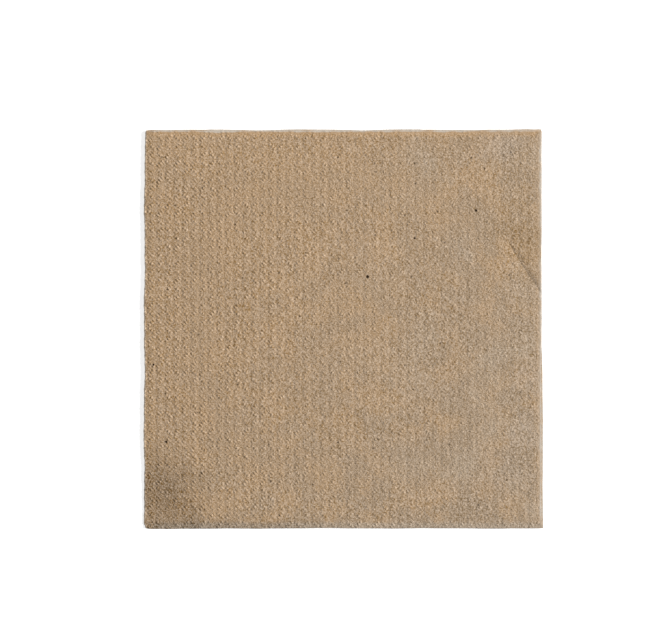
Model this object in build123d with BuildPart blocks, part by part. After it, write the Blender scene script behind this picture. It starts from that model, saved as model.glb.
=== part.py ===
import os
from math import pi

from build123d import *

# A square luncheon napkin: one embossed paper sheet, folded in half twice.
# Lengths are in millimetres. +Z is up, the napkin lies on z = 0 and is centred on the origin.
# The second fold is its -X edge, the first fold its -Y edge, and the cut edges are +X and +Y.

sheet_width = 330.0  # the flat sheet's side that the second fold halves, along X
sheet_depth = 330.0  # the flat sheet's side that the first fold halves, along Y
caliper = 0.30  # thickness of the paper over its embossing
layer_gap = 0.15  # air between two layers that lie on each other
first_fold_lag = 0.40  # how much further the inner two layers reach in Y, as the first fold is off centre
trim_margin = 5.0  # how far a cutting shape reaches past what it cuts

layer_pitch = caliper + layer_gap
stack_height = 4 * caliper + 3 * layer_gap
mid_height = stack_height / 2

# Each fold turns a half circle, and the paper's middle surface keeps its flat length round it.
nose_radius = layer_pitch / 2
inner_wrap_radius = layer_pitch / 2
outer_wrap_radius = inner_wrap_radius + layer_pitch
panel_depth = (sheet_depth - pi * nose_radius) / 2
inner_depth = panel_depth + first_fold_lag / 2
outer_depth = panel_depth - first_fold_lag / 2
inner_width = (sheet_width - pi * inner_wrap_radius) / 2
outer_width = (sheet_width - pi * outer_wrap_radius) / 2

# The folds' axes, placed so that the folded napkin's box is centred on the origin.
wrap_reach = outer_wrap_radius + caliper / 2
nose_reach = nose_radius + caliper / 2
wrap_axis_x = (wrap_reach - inner_width) / 2
nose_axis_y = (nose_reach - inner_depth) / 2
cut_edge_x = wrap_axis_x + outer_width
inner_cut_edge_x = wrap_axis_x + inner_width

# Heights of the upper pair's faces: the inner layer is the lower one of the two.
inner_bottom = mid_height + layer_gap / 2
inner_top = inner_bottom + caliper
outer_bottom = inner_top + layer_gap
outer_top = outer_bottom + caliper
nose_height = (inner_top + outer_bottom) / 2

with BuildPart() as napkin:
    # The upper pair of layers in section: two layers joined at -Y by the first fold's half round.
    with BuildSketch(Plane.YZ.offset(wrap_axis_x)) as pair_section:
        with BuildLine():
            Line((nose_axis_y + inner_depth, inner_bottom), (nose_axis_y, inner_bottom))
            ThreePointArc(
                (nose_axis_y, inner_bottom),
                (nose_axis_y - nose_reach, nose_height),
                (nose_axis_y, outer_top),
            )
            Polyline(
                (nose_axis_y, outer_top),
                (nose_axis_y + outer_depth, outer_top),
                (nose_axis_y + outer_depth, outer_bottom),
                (nose_axis_y, outer_bottom),
            )
            ThreePointArc(
                (nose_axis_y, outer_bottom),
                (nose_axis_y - layer_gap / 2, nose_height),
                (nose_axis_y, inner_top),
            )
            Polyline(
                (nose_axis_y, inner_top),
                (nose_axis_y + inner_depth, inner_top),
                (nose_axis_y + inner_depth, inner_bottom),
            )
        make_face()
    extrude(amount=inner_width)

    # The outer layer is wrapped further round the second fold, so its cut edge stops short.
    # Between the two layers the first fold's end slants from one cut edge to the other.
    with BuildSketch(Plane.XZ.offset(-nose_axis_y)):
        with BuildLine():
            Polyline(
                (inner_cut_edge_x, inner_top),
                (cut_edge_x, outer_bottom),
                (cut_edge_x, outer_top + trim_margin),
                (inner_cut_edge_x + trim_margin, outer_top + trim_margin),
                (inner_cut_edge_x + trim_margin, inner_top),
                close=True,
            )
        make_face()
    extrude(amount=inner_depth + trim_margin, both=True, mode=Mode.SUBTRACT)

    # The lower pair mirrors the upper one, and the second fold's half round joins them at -X.
    mirror(about=Plane.XY.offset(mid_height))
    wrap_axis = Axis((wrap_axis_x, 0, mid_height), (0, 1, 0))
    revolve(pair_section.sketch, axis=wrap_axis, revolution_arc=-180)

napkin.part.label = "napkin"

os.makedirs("parts", exist_ok=True)
export_step(napkin.part, "parts/napkin.step")

box = napkin.part.bounding_box()
print(f"folded size {box.size.X:.2f} x {box.size.Y:.2f} x {box.size.Z:.2f} mm")
print(f"paper volume {napkin.part.volume:.0f} mm3, valid {napkin.part.is_valid}")
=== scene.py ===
import math

import bpy
import numpy as np
from mathutils import Matrix, Vector


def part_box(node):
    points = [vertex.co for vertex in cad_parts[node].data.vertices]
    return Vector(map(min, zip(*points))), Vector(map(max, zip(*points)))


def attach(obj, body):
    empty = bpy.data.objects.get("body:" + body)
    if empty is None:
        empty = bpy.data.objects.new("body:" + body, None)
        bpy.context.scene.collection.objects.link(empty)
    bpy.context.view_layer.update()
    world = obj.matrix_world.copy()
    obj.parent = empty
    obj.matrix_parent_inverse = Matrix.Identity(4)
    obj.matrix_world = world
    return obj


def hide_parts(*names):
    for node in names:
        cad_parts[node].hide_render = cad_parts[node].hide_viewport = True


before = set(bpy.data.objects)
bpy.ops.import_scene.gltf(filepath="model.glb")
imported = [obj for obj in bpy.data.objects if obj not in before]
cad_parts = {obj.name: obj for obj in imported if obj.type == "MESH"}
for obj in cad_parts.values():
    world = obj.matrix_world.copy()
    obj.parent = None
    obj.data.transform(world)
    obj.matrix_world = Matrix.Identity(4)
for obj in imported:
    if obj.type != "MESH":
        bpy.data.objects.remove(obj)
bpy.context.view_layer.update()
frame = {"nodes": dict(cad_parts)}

mm = 0.001
print("frame loaded:", ", ".join(frame["nodes"]))


napkinSheet = dict(
    node="napkin",
    side=330 * mm,  # the flat sheet is square
    caliper=0.30 * mm,  # paper with its emboss
    firstFoldLag=0.40 * mm,  # the inner two layers reach this much further at the far edge
    crispEdge=50,  # degrees: sharper turns than this, at the cuts, are shaded as edges
    wrapSteps=12,  # segments round the second fold
    noseSteps=9,  # segments round the first fold
    hiddenStride=6,  # grid lines skipped on faces that the fold hides
)

emboss = dict(
    cellX=7.17 * mm,  # one diamond, point to point
    cellY=6.96 * mm,
    stepsPerSide=4,  # dots stand at each step of a diamond's side but not where two sides cross
    dotHeight=0.125 * mm,
    dotAcross=0.43 * mm,  # a dot's soft radius across its line
    dotAlong=0.315 * mm,
    ridgeShare=0.075,  # faint ridges along one set of lines, where the dots are deepest
    pitShare=0.30,  # the paper sinks round a crossing by this share of a dot's height
    meanField=0.22,  # taken off so that the bump can fade out at cut edges without a step
    pitRadius=1.25 * mm,
    noDots=(0.6, 1.4),  # in steps from a crossing: no dot nearer than the first, full dots past the second
    endFade=0.25,  # the share of its height that a dot would lose right at a crossing
    edgeOfSkin=(0.2 * mm, 0.6 * mm),  # the relief fades out this far past the start of the first fold
    faintest=0.85,  # dots are pressed deeper towards the second fold
    deepest=1.35,
    dotEdge=0.5,  # grid points where the pattern is higher than this belong to a dot
    startX=2.1 * mm,  # where the pattern starts on the sheet
    startY=1.3 * mm,
)

lay = dict(
    dome=0.80 * mm,  # how far the top layers stand off the lower ones in the middle
    domePower=2.3,
    cornerReach=24 * mm,  # the pinched corner where both folds meet
    cornerDrop=0.85 * mm,
    roundCorners=((-1, -1, 2.4 * mm), (-1, 1, 1.3 * mm), (1, 1, 0.8 * mm)),  # the last is the open corner
    ripple=0.05 * mm,
    rippleWaves=((11 * mm, 17 * mm), (-23 * mm, 13 * mm)),  # for each wave, the X and Y that turn it by 1
    rippleShift=1,
    upperLevel=(0.35, 0.8),  # the dome and ripple come in between these shares of the stack's height
    innerLevel=(0.15, 0.3),  # below these lies the bottom layer
    topLevel=(0.7, 0.85),  # above these lies the top layer
    edgeReach=5.0 * mm,  # how far in from an edge its waviness fades out
    sideTuck=0.45 * mm,  # the inner layers stand this far inside the side cut
    sideShow=0.55 * mm,  # and this much further out along its near part
    sideShowEnds=(62 * mm, 80 * mm),
    cornerShow=0.15 * mm,  # and this much further out near the open corner
    cornerShowStarts=(140 * mm, 150 * mm),
    sideSwell=(0.30 * mm, 0.12 * mm),  # the side bows out, at its far and near parts
    sideSwellFalls=(100 * mm, 80 * mm),
    sideWave=0.14 * mm,
    sideSeed=(1.0, 2.0),  # of its wave, and how much the seed changes up the stack
    farWave=0.16 * mm,  # the far cut edge wavers, and the inner layers there by innerWave more
    farSeed=(2.0, 5.0),
    innerWave=0.22 * mm,
    farSwell=0.12 * mm,
    wrapWave=0.30 * mm,
    wrapSeed=5.2,
    noseWave=0.12 * mm,
    noseSeed=3.7,
    noseSwell=(0.28 * mm, 0.58 * mm),  # the first fold bows out, more towards the second fold
    noseSwellRises=(70 * mm, 10 * mm),
    creaseStart=(67.1 * mm, 39.4 * mm),
    creaseEnd=(80.0 * mm, 18.3 * mm),
    creaseBow=0.45 * mm,
    creaseDepth=0.22 * mm,
    creaseNear=4.5 * mm,  # how far the dent reaches on its two sides
    creaseFar=1.8 * mm,
    creaseStarts=(-0.1, 0.4),  # it deepens between these shares of its length
    creaseEnds=(1.1, 1.4),  # and fades out between these
)

boxLow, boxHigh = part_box(napkinSheet["node"])
stackHeight = boxHigh.z - boxLow.z
midHeight = (boxHigh.z + boxLow.z) / 2
layerGap = (stackHeight - 4 * napkinSheet["caliper"]) / 3
pitch = napkinSheet["caliper"] + layerGap
noseRadius = pitch / 2
outerWidth = (napkinSheet["side"] - math.pi * 1.5 * pitch) / 2
panelDepth = (napkinSheet["side"] - math.pi * noseRadius) / 2
outerDepth = panelDepth - napkinSheet["firstFoldLag"] / 2
innerDepth = panelDepth + napkinSheet["firstFoldLag"] / 2
noseAxisY = boxHigh.y - innerDepth
innerWidth = (napkinSheet["side"] - math.pi * pitch / 2) / 2
wrapAxisX = boxHigh.x - innerWidth
creaseAlong = Vector(lay["creaseEnd"]) - Vector(lay["creaseStart"])
creaseLength = creaseAlong.length
creaseAlong.normalize()
dotStepX = emboss["cellX"] / (2 * emboss["stepsPerSide"])
dotStepY = emboss["cellY"] / (2 * emboss["stepsPerSide"])
lineStep = math.sqrt(dotStepX * dotStepY / 2)  # one unit of p + q or p - q on the sheet
dotAcrossSteps = emboss["dotAcross"] / lineStep
dotAlongSteps = emboss["dotAlong"] / lineStep
pitSteps = emboss["pitRadius"] / lineStep


def smoothStep(low, high, value):
    # 3k^2 - 2k^3, with k running from 0 at low to 1 at high
    k = np.clip((value - low) / (high - low), 0, 1)
    return k * k * (3 - 2 * k)


def dottedDiamonds(s, t):
    # Two families of crossing lines. Along each line stand dots exp(-a^2/2A^2 - b^2/2B^2), with a the
    # distance across the line and b along it to the nearest step. A crossing has a shallow pit instead.
    p = (s - emboss["startX"]) / dotStepX
    q = (t - emboss["startY"]) / dotStepY
    side = emboss["stepsPerSide"]

    def fromMultiple(value, spacing):
        return np.abs((value + spacing / 2) % spacing - spacing / 2)

    def dotsOn(line, step):
        a = fromMultiple(line, 2 * side) / dotAcrossSteps
        b = fromMultiple(step, 2) / dotAlongSteps
        fromCrossing = fromMultiple(step, 2 * side)
        height = 1 - emboss["endFade"] * (1 - fromCrossing / side)
        return height * smoothStep(*emboss["noDots"], fromCrossing) * np.exp(-(a * a + b * b) / 2)

    squaredAway = fromMultiple(p + q, 2 * side) ** 2 + fromMultiple(p - q, 2 * side) ** 2
    pit = np.exp(-squaredAway / (2 * pitSteps ** 2))
    return np.maximum(dotsOn(p + q, p - q), dotsOn(p - q, p + q)) - emboss["pitShare"] * pit


def sheetLines(step, start, panel, foldSteps, stride, farStride):
    # Grid lines over one direction of the flat sheet: (part, place), where part is 0 before the fold,
    # 1 round it and 2 after it, and place is the distance from that panel's cut edge or the angle round it.
    side = napkinSheet["side"]
    edgeRoom, foldRoom = 0.25 * step, 0.3 * step  # no line is nearer than this to a cut edge or a fold
    first = math.ceil((edgeRoom - start) / step)
    flat = start + step * np.arange(first, math.ceil((side - edgeRoom - start) / step))
    near = flat[flat < panel - foldRoom]
    far = side - flat[flat > side - panel + foldRoom]
    angle = np.linspace(0, math.pi, foldSteps + 1)
    keepNear = np.arange(len(near)) % stride == 0
    keepFar = np.arange(len(far))[::-1] % farStride == 0
    keepNear[-1] = keepFar[0] = True
    near, far = near[keepNear], far[keepFar]
    part = np.r_[np.zeros(len(near) + 1), np.ones(len(angle)), np.full(len(far) + 1, 2)]
    place = np.r_[0, near, angle, far, 0]
    return part, place


def flatPlace(part, place, panel, foldRadius):
    # Distance along the flat sheet from its first edge: place, panel + radius * angle, or side - place
    side = napkinSheet["side"]
    return np.where(part == 0, place, np.where(part == 1, panel + foldRadius * place, side - place))


def edgeWave(place, seed, amount):
    # A sum of three sines with wavelengths of about 46, 19 and 9 mm, shifted by a seed of its own
    k = place / mm
    return amount * (0.55 * np.sin(k / 7.3 + seed) + 0.3 * np.sin(k / 3.1 + 2.3 * seed)
                     + 0.15 * np.sin(k / 1.45 + 4.1 * seed))


def creaseShape(x, y):
    # exp(-distance / reach) from a bowed line, with a reach for each side, fading out at both ends
    x, y = x - lay["creaseStart"][0], y - lay["creaseStart"][1]
    along = (x * creaseAlong.x + y * creaseAlong.y) / creaseLength
    off = y * creaseAlong.x - x * creaseAlong.y + lay["creaseBow"] * 4 * along * (1 - along)
    reach = np.where(off > 0, lay["creaseFar"], lay["creaseNear"])
    shown = smoothStep(*lay["creaseStarts"], along) * (1 - smoothStep(*lay["creaseEnds"], along))
    return np.exp(-np.abs(off) / reach) * shown


def roundCorner(x, y, cornerX, cornerY, r):
    # Squeezes the square of side r in a corner of the outline on to a quarter disc
    centreX = boxLow.x + r if cornerX < 0 else boxHigh.x - r
    centreY = boxLow.y + r if cornerY < 0 else boxHigh.y - r
    ax, ay = cornerX * (x - centreX) / r, cornerY * (y - centreY) / r
    inside = (ax > 0) & (ay > 0)
    ax, ay = np.maximum(ax, 1e-9), np.maximum(ay, 1e-9)
    pull = np.maximum(ax, ay) / np.hypot(ax, ay)
    return (np.where(inside, centreX + cornerX * ax * pull * r, x),
            np.where(inside, centreY + cornerY * ay * pull * r, y))


def strayEdges(x, y, level, inner):
    # How far the edges stray from the straight cuts and folds: each move is full at its own edge and fades
    # out edgeReach inside it
    side = smoothStep(boxHigh.x - lay["edgeReach"], boxHigh.x, x)
    far = smoothStep(boxHigh.y - lay["edgeReach"], boxHigh.y, y)
    wrap = smoothStep(boxLow.x + lay["edgeReach"], boxLow.x, x)
    nose = smoothStep(boxLow.y + lay["edgeReach"], boxLow.y, y)
    fromWrap, fromNose = x - boxLow.x, y - boxLow.y

    show = lay["sideShow"] * (1 - smoothStep(*lay["sideShowEnds"], fromNose)) - lay["sideTuck"]
    show = show + lay["cornerShow"] * smoothStep(*lay["cornerShowStarts"], fromNose)
    farSwell, nearSwell = lay["sideSwell"]
    swell = farSwell + (nearSwell - farSwell) * smoothStep(*lay["sideSwellFalls"], fromNose)
    seed, seedChange = lay["sideSeed"]
    wave = edgeWave(fromNose, seed + seedChange * level, lay["sideWave"])
    x = x + side * (wave + inner * show + swell)
    x = x + wrap * edgeWave(fromNose, lay["wrapSeed"], lay["wrapWave"])

    seed, seedChange = lay["farSeed"]
    wave = edgeWave(fromWrap, seed + seedChange * level, lay["farWave"] + lay["innerWave"] * inner)
    y = y + far * (wave + lay["farSwell"])
    openSwell, wrapSwell = lay["noseSwell"]
    swell = openSwell + (wrapSwell - openSwell) * smoothStep(*lay["noseSwellRises"], fromWrap)
    y = y + nose * (edgeWave(fromWrap, lay["noseSeed"], lay["noseWave"]) - swell)
    return x, y


def layOut(x, y, z):
    # Moves the neatly folded sheet to how it lies. The upper layers dome up by (1 - u^n)(1 - v^n), with u
    # and v running from 0 in the middle to 1 at the edges, and ripple by a product of two slanting sines.
    # The corner of both folds is pinched by exp(-(distance / reach)^2), and a crease dents the top layer.
    level = np.clip((z - boxLow.z) / stackHeight, 0, 1)
    top = smoothStep(*lay["topLevel"], level)
    inner = smoothStep(*lay["innerLevel"], level) * (1 - top)
    halfX, halfY = (boxHigh.x - boxLow.x) / 2, (boxHigh.y - boxLow.y) / 2
    u = np.clip(np.abs(x / halfX), 0, 1)
    v = np.clip(np.abs(y / halfY), 0, 1)
    dome = (1 - u ** lay["domePower"]) * (1 - v ** lay["domePower"])
    corner = np.exp(-(np.hypot(x - boxLow.x, y - boxLow.y) / lay["cornerReach"]) ** 2)
    (firstX, firstY), (secondX, secondY) = lay["rippleWaves"]
    ripple = np.sin(x / firstX + y / firstY) * np.sin(x / secondX + y / secondY + lay["rippleShift"])
    lift = (lay["dome"] + lay["ripple"] * ripple) * dome
    z = z + lift * smoothStep(*lay["upperLevel"], level) - lay["cornerDrop"] * corner * level
    z = z - lay["creaseDepth"] * creaseShape(x, y) * top
    x, y = strayEdges(x, y, level, inner)
    for cornerX, cornerY, r in lay["roundCorners"]:
        x, y = roundCorner(x, y, cornerX, cornerY, r)
    return x, y, z


def foldedSkin(columns, rows, sideSign):
    # One face of the folded paper. A row gives the section: its place in Y and its height h over the mid
    # plane. A column carries that along X: straight, round the wrap with radius h, and straight back below.
    colPart, colPlace = (a[:, None] for a in columns)
    rowPart, rowPlace = (a[None, :] for a in rows)
    half = napkinSheet["caliper"] / 2
    heightMid = np.where(rowPart == 0, 1.5 * pitch,
                         np.where(rowPart == 1, pitch + noseRadius * np.cos(rowPlace), pitch / 2))
    width = (napkinSheet["side"] - math.pi * heightMid) / 2
    s = flatPlace(colPart, colPlace, width, heightMid)
    t = flatPlace(rowPart, rowPlace, outerDepth, noseRadius)
    s, t = np.broadcast_arrays(s, t)
    relief = np.zeros_like(s)
    if sideSign > 0:
        shown = 1 - smoothStep(*emboss["edgeOfSkin"], t - outerDepth)
        deeper = (emboss["deepest"] - emboss["faintest"]) * smoothStep(0, outerWidth, s)
        depth = emboss["faintest"] + deeper
        relief = emboss["dotHeight"] * (depth * dottedDiamonds(s, t) - emboss["deepest"]) * shown
    w = sideSign * half + relief
    y = np.where(rowPart == 0, noseAxisY + outerDepth - rowPlace,
                 np.where(rowPart == 1, noseAxisY - (noseRadius + w) * np.sin(rowPlace),
                          noseAxisY + innerDepth - rowPlace))
    h = np.where(rowPart == 0, 1.5 * pitch + w,
                 np.where(rowPart == 1, pitch + (noseRadius + w) * np.cos(rowPlace), pitch / 2 - w))
    x = np.where(colPart == 1, wrapAxisX - h * np.sin(colPlace), wrapAxisX + width - colPlace)
    z = np.where(colPart == 0, midHeight + h,
                 np.where(colPart == 1, midHeight + h * np.cos(colPlace), midHeight - h))
    x, y, z = layOut(x, np.broadcast_to(y, x.shape), z)
    return np.stack([x, y, z], -1), np.stack([s, t], -1)


def gridCells(shape, offset, flip):
    # The four corners a, b, c, d of each cell of a grid, in turn round it
    index = offset + np.arange(shape[0] * shape[1]).reshape(shape)
    a, b, c, d = index[:-1, :-1], index[1:, :-1], index[1:, 1:], index[:-1, 1:]
    return np.stack([a, b, c, d], -1).reshape(-1, 4)[:, ::-1 if flip else 1]


def cutCells(cells, dotted):
    # A cell is cut from a to c where b and d alone are both dots, and from b to d otherwise
    a, b, c, d = cells.T
    cutBD = dotted[a] & dotted[c] | ~(dotted[b] & dotted[d])
    first = np.where(cutBD[:, None], np.stack([a, b, d], -1), np.stack([a, b, c], -1))
    second = np.where(cutBD[:, None], np.stack([b, c, d], -1), np.stack([a, c, d], -1))
    return np.concatenate([first, second])


def zipTriangles(dense, coarse, match, flip):
    # Closes the strip between a dense edge and a coarse one, where coarse point k faces dense point
    # match[k]: a fan of dense edges to each coarse point, and one triangle from each coarse edge
    middle = (match[:-1] + match[1:]) // 2
    edge = np.arange(len(dense) - 1)
    apex = np.searchsorted(middle, edge, side="right")
    fans = np.stack([dense[edge], dense[edge + 1], coarse[apex]], -1)
    caps = np.stack([dense[middle], coarse[1:], coarse[:-1]], -1)
    return np.concatenate([fans, caps])[:, ::-1 if flip else 1]


def lineKeys(lines):
    # One number for each grid line, with the parts further apart than any two places within one
    part, place = lines
    partSpacing = 10
    return part * partSpacing + np.where(part == 1, place, place / napkinSheet["side"])


def matchLines(dense, coarse):
    # The dense line that each coarse line lies on, which has the nearest key
    return np.abs(lineKeys(dense)[None, :] - lineKeys(coarse)[:, None]).argmin(1)


def makeNapkin():
    # The outer face is a fine grid with the emboss and the inner face a plain coarse one. Strips join them
    # all round, along the cut edges.
    sheet = napkinSheet
    stride = sheet["hiddenStride"]
    columns = sheetLines(dotStepX, emboss["startX"], outerWidth, sheet["wrapSteps"], 1, 1)
    rows = sheetLines(dotStepY, emboss["startY"], outerDepth, sheet["noseSteps"], 1, stride)
    fewColumns = sheetLines(dotStepX, emboss["startX"], outerWidth, sheet["wrapSteps"], stride, stride)
    fewRows = sheetLines(dotStepY, emboss["startY"], outerDepth, sheet["noseSteps"], stride, stride)
    skin, skinFlat = foldedSkin(columns, rows, 1)
    lining, liningFlat = foldedSkin(fewColumns, fewRows, -1)
    count = skin.shape[0] * skin.shape[1]
    skinIndex = np.arange(count).reshape(skin.shape[:2])
    liningIndex = count + np.arange(lining.shape[0] * lining.shape[1]).reshape(lining.shape[:2])

    points = np.concatenate([skin.reshape(-1, 3), lining.reshape(-1, 3)])
    flat = np.concatenate([skinFlat.reshape(-1, 2), liningFlat.reshape(-1, 2)])
    dotted = dottedDiamonds(flat[:, 0], flat[:, 1]) > emboss["dotEdge"]
    columnMatch, rowMatch = matchLines(columns, fewColumns), matchLines(rows, fewRows)
    triangles = np.concatenate([
        cutCells(gridCells(skin.shape[:2], 0, False), dotted),
        cutCells(gridCells(lining.shape[:2], count, True), dotted),
        zipTriangles(skinIndex[:, 0], liningIndex[:, 0], columnMatch, True),
        zipTriangles(skinIndex[:, -1], liningIndex[:, -1], columnMatch, False),
        zipTriangles(skinIndex[0], liningIndex[0], rowMatch, False),
        zipTriangles(skinIndex[-1], liningIndex[-1], rowMatch, True),
    ])
    a, b, c = (points[triangles[:, k]] for k in range(3))
    if (a * np.cross(b, c)).sum() < 0:
        triangles = triangles[:, ::-1]

    mesh = bpy.data.meshes.new("foldedNapkin")
    mesh.from_pydata(points, [], triangles)
    uvMap = mesh.uv_layers.new(name="flatSheet")
    corners = np.empty(len(mesh.loops), np.int32)
    mesh.loops.foreach_get("vertex_index", corners)
    uvMap.data.foreach_set("uv", (flat[corners] / sheet["side"]).ravel())
    mesh.shade_smooth()
    mesh.set_sharp_from_angle(angle=math.radians(sheet["crispEdge"]))
    mesh.update()
    napkin = bpy.data.objects.new("folded_napkin", mesh)
    bpy.context.collection.objects.link(napkin)
    print("napkin:", len(triangles), "triangles")
    return napkin


paper = dict(
    # colours
    kraft=(0.477, 0.334, 0.208, 1),
    greyKraft=(0.425, 0.318, 0.218, 1),
    warmKraft=(0.493, 0.333, 0.194, 1),
    paleKraft=(0.450, 0.351, 0.253, 1),
    # warm tint of the cut edges, with painted light where they curve down towards the lamp
    warmLitEdge=(0.536, 0.358, 0.204, 1),
    # painted light: the cut edges made paler as if lit through the thin paper, and the side edge as if
    # facing the lamp
    paintedEdgeLight=(0.62, 0.54, 0.45, 1),
    foldGrey=(0.447, 0.360, 0.272, 1),
    foldWarm=(0.458, 0.312, 0.182, 1),
    # painted light: the wrap of the second fold, which turns away from the lamp, made pale
    foldPaintedLight=(0.95, 0.78, 0.60, 1),
    # painted shade: dark brown mixed in at the pinched corner and along the nose, where they turn away from
    # the lamp
    paintedShade=(0.03, 0.015, 0.003, 1),
    # painted shade beside the crease, where the paper tilts away from the lamp
    creaseSideShade=(0.380, 0.243, 0.122, 1),
    # painted highlight: pale, bluish patches near the side cut, which faces the lamp
    paintedHighlight=(0.503, 0.423, 0.347, 1),
    speck=(0.020, 0.008, 0.001, 1),
    grainColour=(0.345, 0.306, 0.270),  # greyer than the paper, so dark grain is browner than pale grain
    roughness=0.90,
    gloss=0.15,

    # A noise is (cells per mm, octaves added, roughness). A ramp is (from, to), or (from, to, value at
    # from, value at to).
    greyLean=0.6,  # grey kraft takes over towards the near right corner, along x - greyLean * y in mm
    greyRamp=(-90, 110),
    clouds=(0.09, 3, 0.5),  # of warm kraft
    cloudRamp=(0.38, 0.65, 0, 0.7),
    paleClouds=(0.045, 3, 0.6),  # of pale kraft, towards the open side
    paleCloudRamp=(0.5, 0.68, 0, 0.8),
    paleFromX=(-20, 60),

    # bands along the cut edges and folds, in mm from them
    bandWander=1.6,
    bandNoise=(0.2, 2.0, 0.5),
    sideWarmLit=(2.2, 1.2, 0, 0.7),
    farWarmLit=(3.2, 1.2, 0, 0.85),
    cutPaintedLight=(0.7, 0.1),
    sidePaintedLight=(2.2, 0.6, 0, 0.35),
    noseGrey=(2.6, 1.2, 0, 0.7),
    wrapWarm=(6, 2, 0, 0.7),
    wrapPaintedLight=(1.3, 0.5, 0, 0.9),
    # painted shade along the first fold's nose, towards the second fold
    noseShade=(3.2, 1.6),  # a darker strip along the first fold, towards the second
    noseShadeFromX=(0, -25, 0, 0.16),

    # places on the top given painted shade, at the pinched corner, along the nose and beside the crease,
    # and painted highlight near the side cut: x, y, reach in mm, amount, colour
    patches=((-75, -69, 24, 0.34, "paintedShade"), (-60, -91, 17, 0.22, "paintedShade"), (-32, -91, 14, 0.16, "paintedShade"),
             (76, 36, 20, 0.45, "creaseSideShade"), (66, 77, 14, 0.30, "paintedHighlight"), (79, -22, 9, 0.24, "paintedHighlight"),
             (76, -43, 10, 0.20, "paintedHighlight"), (68, -60, 15, 0.12, "paintedHighlight")),
    patchCore=2,  # mm round a patch's centre at its full amount
    patchWander=18,
    patchNoise=(0.12, 2.0, 0.5),

    # pulp grain: a noise and a strength each, fading out at the cut edges
    grains=(((0.09, 2, 1.0), 0.25), ((0.6, 1, 1.0), 0.70), ((2.1, 0, 1.0), 1.52)),
    grainAtCut=(0.3, 1.8, 0.2, 1.0),

    # the five plainest specks on the top: x, y, radius in mm
    darkSpecks=((11, 21.5, 0.42), (56, 49, 0.30), (-78, -15, 0.24), (-72.5, -47, 0.30), (30.5, 37.5, 0.22)),
    speckBlur=0.45,
    speckWander=0.6,
    speckNoise=(1.5, 2.0, 0.5),
    fineSpecks=0.07,  # cells per mm, with a fine speck in some of them
    fineSpeckRamp=(0.58, 0.2, 0, 0.65),
    fineSpeckChance=(0.45, 0.65),

    # the bump: heights in mm, of which only a share is left right at a cut edge
    bumpDots=0.13,
    dotNoise=(0.28, 2.0, 0.5),  # the dots are fainter here and there
    dotNoiseRamp=(0.3, 0.7, 0.5, 1.4),
    bumpFibres=0.185,
    fibres=(1.1, 3, 0.6),
    bumpCrepe=0.14,
    crepe=(0.55, 2.0, 0.5),
    bumpAtCut=(0.2, 1.3, 0.25, 1.0),
    ridgesFromCut=(90, 160),  # mm on the sheet from the side cut, over which its faint ridges come in

    # the crease: a sharp line inside the wide dent in the mesh
    bumpCrease=0.20,
    creaseNear=2.0,  # how far the line's dent reaches on its two sides
    creaseFar=1.0,
    creaseShade=0.12,
    creaseLine=(0.6, 0.1),
)


def link(tree, source, target):
    tree.links.new(source, target)


def feed(tree, value, socket):
    # A number or colour is set on the socket, and an output is linked to it
    if isinstance(value, (int, float, tuple)):
        socket.default_value = value
    else:
        link(tree, value, socket)


def mathNode(tree, operation, a, b=None):
    node = tree.nodes.new("ShaderNodeMath")
    node.operation = operation
    feed(tree, a, node.inputs[0])
    if b is not None:
        feed(tree, b, node.inputs[1])
    return node.outputs[0]


def add(tree, a, b):
    return mathNode(tree, "ADD", a, b)


def subtract(tree, a, b):
    return mathNode(tree, "SUBTRACT", a, b)


def multiply(tree, a, b):
    return mathNode(tree, "MULTIPLY", a, b)


def scaleNode(tree, vector, factor):
    node = tree.nodes.new("ShaderNodeVectorMath")
    node.operation = "SCALE"
    feed(tree, vector, node.inputs[0])
    feed(tree, factor, node.inputs["Scale"])
    return node.outputs[0]


def noiseNode(tree, vector, scale, detail, roughness):
    node = tree.nodes.new("ShaderNodeTexNoise")
    node.inputs["Scale"].default_value = scale
    node.inputs["Detail"].default_value = detail
    node.inputs["Roughness"].default_value = roughness
    link(tree, vector, node.inputs["Vector"])
    return node.outputs["Fac"]


def centredNoise(tree, vector, noise, amount):
    # A noise that runs to both sides of 0
    return multiply(tree, subtract(tree, noiseNode(tree, vector, *noise), 0.5), amount)


def rampNode(tree, value, low, high, toLow=0.0, toHigh=1.0):
    node = tree.nodes.new("ShaderNodeMapRange")
    node.interpolation_type = "SMOOTHSTEP"
    node.inputs["From Min"].default_value = low
    node.inputs["From Max"].default_value = high
    node.inputs["To Min"].default_value = toLow
    node.inputs["To Max"].default_value = toHigh
    link(tree, value, node.inputs["Value"])
    return node.outputs["Result"]


def mixColour(tree, factor, first, second):
    node = tree.nodes.new("ShaderNodeMix")
    node.data_type = "RGBA"
    firstSocket, secondSocket = [socket for socket in node.inputs if socket.type == "RGBA"]
    feed(tree, factor, node.inputs[0])
    feed(tree, first, firstSocket)
    feed(tree, second, secondSocket)
    return [socket for socket in node.outputs if socket.type == "RGBA"][0]


def splitNode(tree, vector):
    node = tree.nodes.new("ShaderNodeSeparateXYZ")
    link(tree, vector, node.inputs[0])
    return tuple(node.outputs)


def paperPlaces(tree):
    # Where a point is on the object and on the flat sheet, in mm
    coordinates = tree.nodes.new("ShaderNodeTexCoord")
    place = scaleNode(tree, coordinates.outputs["Object"], 1 / mm)
    uvNode = tree.nodes.new("ShaderNodeUVMap")
    uvNode.uv_map = "flatSheet"
    return place, scaleNode(tree, uvNode.outputs[0], napkinSheet["side"] / mm)


def fromCutEdge(tree, place):
    # Distance on the flat sheet to the nearer of the two cut edges across one direction
    return mathNode(tree, "MINIMUM", place, subtract(tree, napkinSheet["side"] / mm, place))


def awayFrom(tree, flat, x, y):
    # Distance in mm on the sheet from the place that lies at x, y on the top
    node = tree.nodes.new("ShaderNodeVectorMath")
    node.operation = "DISTANCE"
    link(tree, flat, node.inputs[0])
    node.inputs[1].default_value = (boxHigh.x / mm - x, (noseAxisY + outerDepth) / mm - y, 0)
    return node.outputs["Value"]


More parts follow.
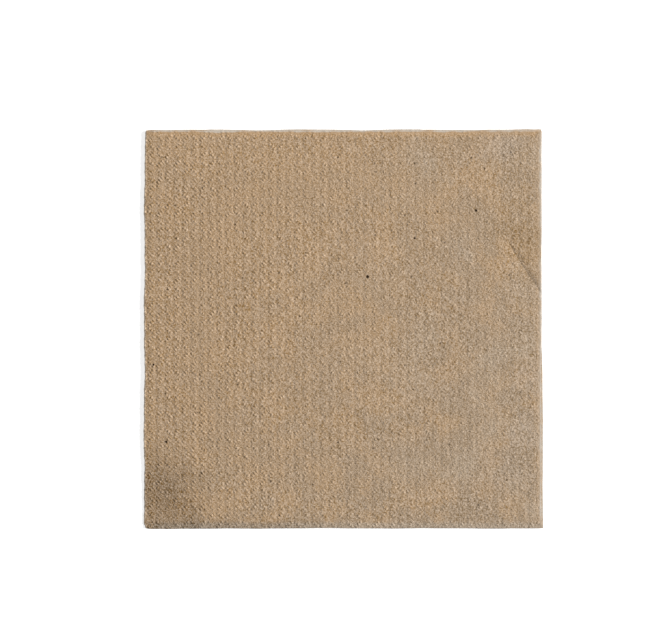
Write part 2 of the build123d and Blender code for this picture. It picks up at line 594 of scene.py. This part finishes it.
def dotsBump(tree, flat):
    # The pattern of dottedDiamonds in nodes, with faint ridges cos(pi (p + q)) where the dots are deep,
    # less its mean, and deeper towards the second fold
    s, t, _ = splitNode(tree, flat)
    p = multiply(tree, subtract(tree, s, emboss["startX"] / mm), mm / dotStepX)
    q = multiply(tree, subtract(tree, t, emboss["startY"] / mm), mm / dotStepY)
    plus, minus = add(tree, p, q), subtract(tree, p, q)
    side = emboss["stepsPerSide"]

    def squared(value, radius):
        return mathNode(tree, "POWER", mathNode(tree, "DIVIDE", value, radius), 2.0)

    def softBump(a, aRadius, b, bRadius):
        both = add(tree, squared(a, aRadius), squared(b, bRadius))
        return mathNode(tree, "EXPONENT", multiply(tree, both, -0.5))

    def dotsOn(line, step):
        dot = softBump(mathNode(tree, "PINGPONG", line, side), dotAcrossSteps,
                       mathNode(tree, "PINGPONG", step, 1), dotAlongSteps)
        fromCrossing = mathNode(tree, "PINGPONG", step, side)
        height = add(tree, multiply(tree, fromCrossing, emboss["endFade"] / side), 1 - emboss["endFade"])
        weight = multiply(tree, rampNode(tree, fromCrossing, *emboss["noDots"]), height)
        return multiply(tree, dot, weight)

    pit = softBump(mathNode(tree, "PINGPONG", plus, side), pitSteps,
                   mathNode(tree, "PINGPONG", minus, side), pitSteps)
    dots = mathNode(tree, "MAXIMUM", dotsOn(plus, minus), dotsOn(minus, plus))
    field = subtract(tree, dots, multiply(tree, pit, emboss["pitShare"]))
    ridges = mathNode(tree, "COSINE", multiply(tree, plus, math.pi))
    ridgeHeight = rampNode(tree, s, *paper["ridgesFromCut"], 0, emboss["ridgeShare"])
    field = add(tree, field, multiply(tree, ridges, ridgeHeight))
    field = subtract(tree, field, emboss["meanField"])
    depth = rampNode(tree, s, 0, outerWidth / mm, emboss["faintest"], emboss["deepest"])
    return multiply(tree, field, depth)


def creaseNodes(tree, place):
    # The line of creaseShape, in nodes: the signed distance from it in mm, and 1 along it on the top layer,
    # fading to 0 at its ends
    start = tree.nodes.new("ShaderNodeVectorMath")
    start.operation = "SUBTRACT"
    link(tree, place, start.inputs[0])
    start.inputs[1].default_value = (lay["creaseStart"][0] / mm, lay["creaseStart"][1] / mm, 0)
    x, y, _ = splitNode(tree, start.outputs[0])

    def weighted(a, b):
        return add(tree, multiply(tree, x, a), multiply(tree, y, b))

    along = weighted(creaseAlong.x * mm / creaseLength, creaseAlong.y * mm / creaseLength)
    bow = multiply(tree, along, subtract(tree, 1.0, along))
    bow = multiply(tree, bow, 4 * lay["creaseBow"] / mm)
    off = add(tree, weighted(-creaseAlong.y, creaseAlong.x), bow)
    shown = multiply(tree, rampNode(tree, along, *lay["creaseStarts"]),
                     rampNode(tree, along, *reversed(lay["creaseEnds"])))
    height = splitNode(tree, place)[2]
    onTop = rampNode(tree, height, midHeight / mm, (boxHigh.z - napkinSheet["caliper"]) / mm)
    return off, multiply(tree, shown, onTop)


def paperHeight(tree, place, flat):
    # The dots, fibres and soft crepe of the tissue and the crease, as exp(-distance / reach), in mm.
    # It fades out at the cut edges.
    patchy = rampNode(tree, noiseNode(tree, place, *paper["dotNoise"]), *paper["dotNoiseRamp"])
    dots = multiply(tree, dotsBump(tree, flat), patchy)
    off, shown = creaseNodes(tree, place)
    onFarSide = mathNode(tree, "GREATER_THAN", off, 0.0)
    reach = multiply(tree, onFarSide, paper["creaseFar"] - paper["creaseNear"])
    reach = add(tree, reach, paper["creaseNear"])
    reached = mathNode(tree, "DIVIDE", mathNode(tree, "ABSOLUTE", off), multiply(tree, reach, -1.0))
    dent = multiply(tree, mathNode(tree, "EXPONENT", reached), shown)
    height = multiply(tree, dent, -paper["bumpCrease"])
    height = add(tree, height, multiply(tree, dots, paper["bumpDots"]))
    height = add(tree, height, centredNoise(tree, place, paper["fibres"], paper["bumpFibres"]))
    height = add(tree, height, centredNoise(tree, place, paper["crepe"], paper["bumpCrepe"]))
    s, t, _ = splitNode(tree, flat)
    fromCut = mathNode(tree, "MINIMUM", fromCutEdge(tree, s), fromCutEdge(tree, t))
    return multiply(tree, height, rampNode(tree, fromCut, *paper["bumpAtCut"]))


def plainColour(tree, place):
    # Kraft that turns greyer across the sheet, with soft clouds of warm and of pale kraft
    x, y, _ = splitNode(tree, place)
    lean = subtract(tree, x, multiply(tree, y, paper["greyLean"]))
    grey = rampNode(tree, lean, *paper["greyRamp"])
    colour = mixColour(tree, grey, paper["kraft"], paper["greyKraft"])
    warm = rampNode(tree, noiseNode(tree, place, *paper["clouds"]), *paper["cloudRamp"])
    colour = mixColour(tree, warm, colour, paper["warmKraft"])
    pale = rampNode(tree, noiseNode(tree, place, *paper["paleClouds"]), *paper["paleCloudRamp"])
    pale = multiply(tree, pale, rampNode(tree, x, *paper["paleFromX"]))
    return mixColour(tree, pale, colour, paper["paleKraft"])


def edgeColour(tree, colour, s, t, wander):
    # Bands along the side and far cuts, the first fold's nose and the second fold's wrap. The pale cut
    # edges and the pale wrap are painted light, and the warm cut bands are partly painted light
    fromSide = add(tree, fromCutEdge(tree, s), wander)
    fromFar = add(tree, fromCutEdge(tree, t), wander)
    fromCut = mathNode(tree, "MINIMUM", fromSide, fromFar)
    # the warm cut bands: the paper's warm tint, partly painted light
    warm = mathNode(tree, "MAXIMUM", rampNode(tree, fromSide, *paper["sideWarmLit"]),
                    rampNode(tree, fromFar, *paper["farWarmLit"]))
    colour = mixColour(tree, warm, colour, paper["warmLitEdge"])
    # painted light: paler cut edges and side band
    pale = mathNode(tree, "MAXIMUM", rampNode(tree, fromCut, *paper["cutPaintedLight"]),
                    rampNode(tree, fromSide, *paper["sidePaintedLight"]))
    colour = mixColour(tree, pale, colour, paper["paintedEdgeLight"])
    fromNose = mathNode(tree, "ABSOLUTE", subtract(tree, t, outerDepth / mm))
    colour = mixColour(tree, rampNode(tree, fromNose, *paper["noseGrey"]), colour, paper["foldGrey"])
    fromWrap = mathNode(tree, "ABSOLUTE", subtract(tree, s, napkinSheet["side"] / mm / 2))
    warm = rampNode(tree, add(tree, fromWrap, wander), *paper["wrapWarm"])
    colour = mixColour(tree, warm, colour, paper["foldWarm"])
    # painted light on the wrap's pale band
    colour = mixColour(tree, rampNode(tree, fromWrap, *paper["wrapPaintedLight"]), colour, paper["foldPaintedLight"])
    return colour, fromCut, fromNose


def paintedLightColour(tree, colour, place, flat, fromNose):
    # Painted shade at the pinched corner, along the nose and beside the crease, painted highlight near the
    # side cut, and painted shade along the crease's line
    stray = centredNoise(tree, place, paper["patchNoise"], paper["patchWander"])
    # painted shade and painted highlight, patch by patch
    for patchX, patchY, reach, amount, name in paper["patches"]:
        away = add(tree, awayFrom(tree, flat, patchX, patchY), stray)
        patch = rampNode(tree, away, reach, paper["patchCore"], 0, amount)
        colour = mixColour(tree, patch, colour, paper[name])
    # painted shade along the nose, towards the second fold
    noseShade = multiply(tree, rampNode(tree, fromNose, *paper["noseShade"]),
                       rampNode(tree, splitNode(tree, place)[0], *paper["noseShadeFromX"]))
    colour = mixColour(tree, noseShade, colour, paper["paintedShade"])
    off, shown = creaseNodes(tree, place)
    line = rampNode(tree, mathNode(tree, "ABSOLUTE", off), *paper["creaseLine"])
    line = multiply(tree, shown, line)
    return scaleNode(tree, colour, rampNode(tree, line, 0, 1, 1, 1 - paper["creaseShade"]))


def grainedColour(tree, colour, place, fromCut):
    # Adds tone * grainColour, where tone is a sum of noises round 0
    tone = 0.0
    for noise, strength in paper["grains"]:
        tone = add(tree, tone, centredNoise(tree, place, noise, strength))
    tone = multiply(tree, tone, rampNode(tree, fromCut, *paper["grainAtCut"]))
    grained = tree.nodes.new("ShaderNodeVectorMath")
    grained.operation = "ADD"
    link(tree, colour, grained.inputs[0])
    link(tree, scaleNode(tree, paper["grainColour"], tone), grained.inputs[1])
    return grained.outputs[0]


def pulpSpecks(tree, place, flat):
    # How dark the bits of pulp are: fine ones in some of a pattern's cells, and a few large ones
    ragged = centredNoise(tree, place, paper["speckNoise"], paper["speckWander"])
    cells = tree.nodes.new("ShaderNodeTexVoronoi")
    cells.voronoi_dimensions = "2D"
    cells.inputs["Scale"].default_value = paper["fineSpecks"]
    link(tree, flat, cells.inputs["Vector"])
    chance = splitNode(tree, cells.outputs["Color"])[0]
    away = mathNode(tree, "DIVIDE", cells.outputs["Distance"], paper["fineSpecks"])
    specks = multiply(tree, rampNode(tree, add(tree, away, ragged), *paper["fineSpeckRamp"]),
                      rampNode(tree, chance, *paper["fineSpeckChance"]))
    for speckX, speckY, radius in paper["darkSpecks"]:
        away = add(tree, awayFrom(tree, flat, speckX, speckY), ragged)
        speck = rampNode(tree, away, radius + paper["speckBlur"], radius)
        specks = mathNode(tree, "MAXIMUM", specks, speck)
    return specks


def paperColour(tree, place, flat):
    # Plain kraft, then its edges with their painted light, then painted shade and highlight, then grain,
    # then specks
    s, t, _ = splitNode(tree, flat)
    wander = centredNoise(tree, place, paper["bandNoise"], paper["bandWander"])
    colour, fromCut, fromNose = edgeColour(tree, plainColour(tree, place), s, t, wander)
    colour = paintedLightColour(tree, colour, place, flat, fromNose)
    colour = grainedColour(tree, colour, place, fromCut)
    return mixColour(tree, pulpSpecks(tree, place, flat), colour, paper["speck"])


def paperMaterial():
    material = bpy.data.materials.new("kraftTissue")
    material.use_nodes = True
    tree = material.node_tree
    tree.nodes.clear()
    output = tree.nodes.new("ShaderNodeOutputMaterial")
    shader = tree.nodes.new("ShaderNodeBsdfPrincipled")
    shader.inputs["Roughness"].default_value = paper["roughness"]
    shader.inputs["Specular IOR Level"].default_value = paper["gloss"]
    link(tree, shader.outputs[0], output.inputs["Surface"])
    place, flat = paperPlaces(tree)
    bump = tree.nodes.new("ShaderNodeBump")
    bump.inputs["Strength"].default_value = 1.0
    bump.inputs["Distance"].default_value = mm
    link(tree, paperHeight(tree, place, flat), bump.inputs["Height"])
    link(tree, bump.outputs[0], shader.inputs["Normal"])
    link(tree, paperColour(tree, place, flat), shader.inputs["Base Color"])
    return material


studio = dict(  # lengths are in metres and angles in degrees
    floorSize=3.0,
    floorDrop=0.03 * mm,  # below the napkin's underside
    floorColour=(0.86, 0.86, 0.86, 1),
    floorGlow=0.66,  # where the floor is seen, so that it is white and its shadow faint, and lights nothing
    fill=0.24,  # of white, from all round
    keyStrength=0.70,  # of white, on the floor
    keyAzimuth=9,  # from +X
    keyElevation=27,
    keyDistance=6.0,
    keySize=2.2,
    viewWidth=0.2765,  # what the frame's width spans at the napkin's top
    cameraHeight=0.75,
    aimX=-4.1 * mm,
    aimY=4.8 * mm,
    tiltForward=1.1,  # off straight above
    tiltSide=0.4,
)


def seenRays(tree):
    # 1 for the rays that show the background: the camera's own, and those through metal and glass
    rays = tree.nodes.new("ShaderNodeLightPath")
    seen = mathNode(tree, "MAXIMUM", rays.outputs["Is Camera Ray"], rays.outputs["Is Glossy Ray"])
    return mathNode(tree, "MAXIMUM", seen, rays.outputs["Is Transmission Ray"])


def makeFloor():
    half = studio["floorSize"] / 2
    z = -studio["floorDrop"]
    mesh = bpy.data.meshes.new("floor")
    corners = [(-half, -half, z), (half, -half, z), (half, half, z), (-half, half, z)]
    mesh.from_pydata(corners, [], [(0, 1, 2, 3)])
    floor = bpy.data.objects.new("floor", mesh)
    bpy.context.collection.objects.link(floor)
    material = bpy.data.materials.new("paleFloor")
    material.use_nodes = True
    tree = material.node_tree
    tree.nodes.clear()
    output = tree.nodes.new("ShaderNodeOutputMaterial")
    diffuse = tree.nodes.new("ShaderNodeBsdfDiffuse")
    diffuse.inputs["Color"].default_value = studio["floorColour"]
    glow = tree.nodes.new("ShaderNodeEmission")
    link(tree, multiply(tree, seenRays(tree), studio["floorGlow"]), glow.inputs["Strength"])
    both = tree.nodes.new("ShaderNodeAddShader")
    link(tree, diffuse.outputs[0], both.inputs[0])
    link(tree, glow.outputs[0], both.inputs[1])
    link(tree, both.outputs[0], output.inputs["Surface"])
    mesh.materials.append(material)


def makeWorld():
    # White where it is seen, and a soft fill to everything else
    world = bpy.data.worlds.new("softRoom")
    bpy.context.scene.world = world
    world.use_nodes = True
    tree = world.node_tree
    tree.nodes.clear()
    output = tree.nodes.new("ShaderNodeOutputWorld")
    background = tree.nodes.new("ShaderNodeBackground")
    background.inputs["Color"].default_value = (1, 1, 1, 1)
    extra = multiply(tree, seenRays(tree), 1 - studio["fill"])
    link(tree, add(tree, extra, studio["fill"]), background.inputs["Strength"])
    link(tree, background.outputs[0], output.inputs["Surface"])


def makeKey():
    azimuth, elevation = math.radians(studio["keyAzimuth"]), math.radians(studio["keyElevation"])
    level = math.cos(elevation)
    toward = Vector((math.cos(azimuth) * level, math.sin(azimuth) * level, math.sin(elevation)))
    light = bpy.data.lights.new("key", "AREA")
    light.shape = "DISK"
    light.size = studio["keySize"]
    distance = studio["keyDistance"]
    # a disk of power P lights the floor by P sin(elevation) / (pi distance)^2, as a share of white
    light.energy = studio["keyStrength"] * (math.pi * distance) ** 2 / toward.z
    key = bpy.data.objects.new("key", light)
    key.location = toward * distance
    key.rotation_mode = "QUATERNION"
    key.rotation_quaternion = toward.to_track_quat("Z", "Y")
    bpy.context.collection.objects.link(key)


def makeCamera():
    data = bpy.data.cameras.new("camera")
    data.sensor_width = 36
    camera = bpy.data.objects.new("camera", data)
    height = studio["cameraHeight"]
    data.lens = data.sensor_width * height / studio["viewWidth"]
    aim = Vector((studio["aimX"], studio["aimY"], boxHigh.z))
    sideways, forward = math.radians(studio["tiltSide"]), math.radians(studio["tiltForward"])
    back = Vector((math.tan(sideways), -math.tan(forward), 1)).normalized()
    right = Vector((0, 1, 0)).cross(back).normalized()
    camera.location = aim + back * height
    camera.rotation_mode = "QUATERNION"
    camera.rotation_quaternion = Matrix((right, back.cross(right), back)).transposed().to_quaternion()
    data.clip_start, data.clip_end = 0.01, 10
    bpy.context.collection.objects.link(camera)
    bpy.context.scene.camera = camera


makeCamera()
makeWorld()
makeKey()
makeFloor()
print("studio ready")

napkin = makeNapkin()
napkin.data.materials.append(paperMaterial())
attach(napkin, "root")
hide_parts(napkinSheet["node"])
print("napkin dressed in kraft tissue")

bpy.context.scene.view_settings.view_transform = "Standard"
